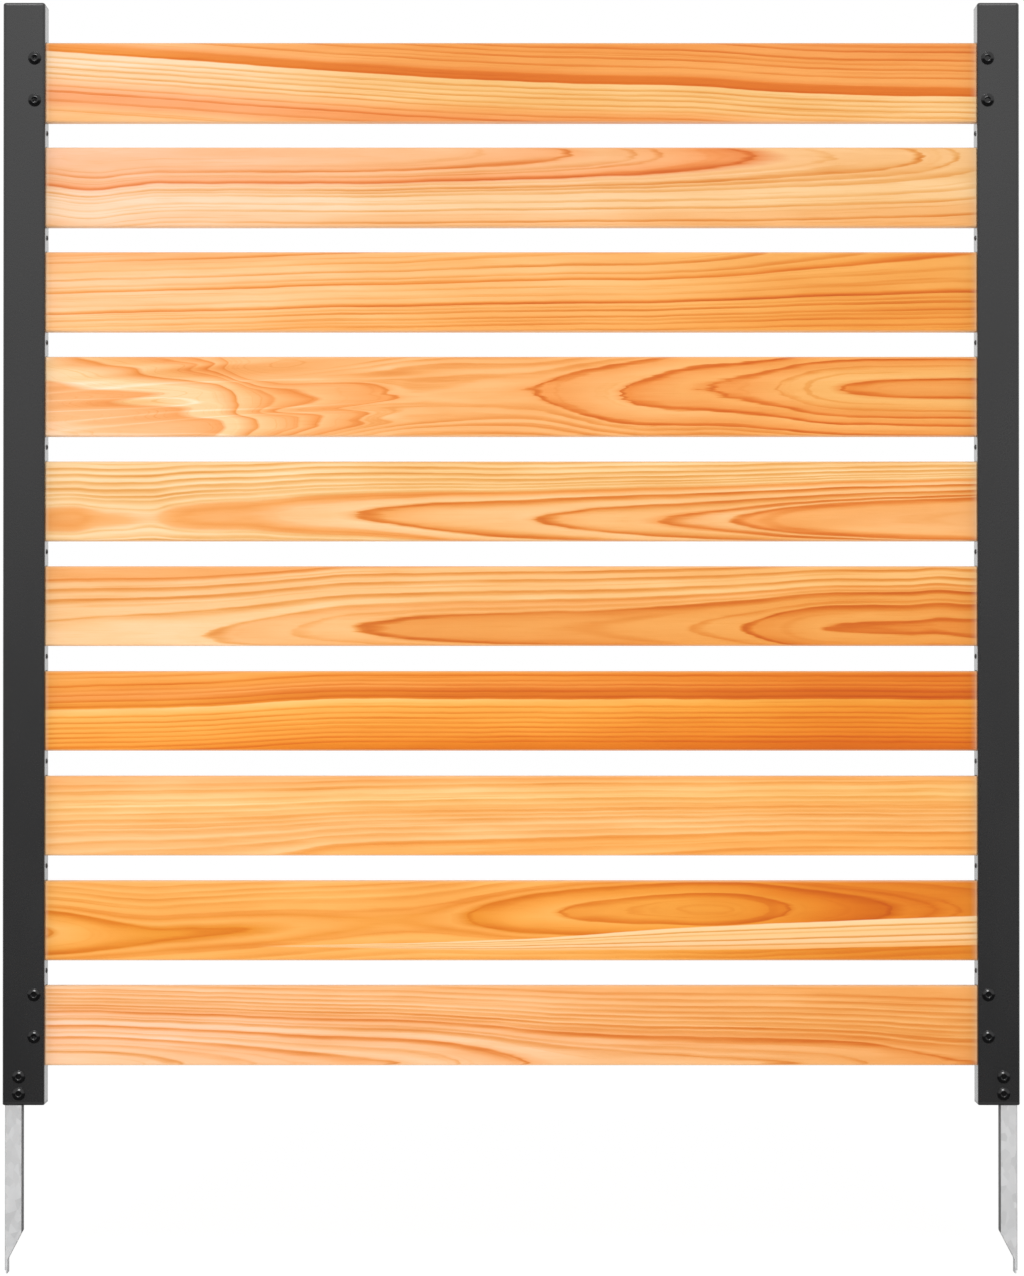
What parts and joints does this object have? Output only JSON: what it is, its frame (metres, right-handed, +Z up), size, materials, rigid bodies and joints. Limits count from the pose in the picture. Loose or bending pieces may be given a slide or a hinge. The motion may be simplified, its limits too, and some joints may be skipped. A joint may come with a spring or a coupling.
{
  "type": "privacy fence panel",
  "caption": "Upright privacy fence panel of level wooden slats slotted into two square steel posts, with ground stakes at the posts' feet.",
  "frame": {"origin": "on the ground line, midway between the two posts and midway front to back", "axes": "+X along the panel to the right as seen from the front, +Y from the front to the back, +Z up"},
  "size_m": [0.968, 0.0428, 1.21],
  "materials": {
    "stained_wood": "orange-stained softwood with plain-sawn grain, planed, eased edges, satin",
    "powder_coated_steel": "satin charcoal powder coat on steel tube",
    "cap_plastic": "satin charcoal moulded plastic",
    "galvanised_steel": "galvanised steel sheet, softly mottled",
    "black_screws": "glossy black coated screws"
  },
  "bodies": {
    "root": {"left_foot_cap": "cap_plastic", "left_post": "powder_coated_steel", "left_post_cap": "cap_plastic", "left_stake": "galvanised_steel", "right_foot_cap": "cap_plastic", "right_post": "powder_coated_steel", "right_post_cap": "cap_plastic", "right_stake": "galvanised_steel", "slat_01": "stained_wood", "slat_02": "stained_wood", "slat_03": "stained_wood", "slat_04": "stained_wood", "slat_05": "stained_wood", "slat_06": "stained_wood", "slat_07": "stained_wood", "slat_08": "stained_wood", "slat_09": "stained_wood", "slat_10": "stained_wood", "slat_screws": "black_screws", "stake_screws": "black_screws"}
  },
  "joints": []
}
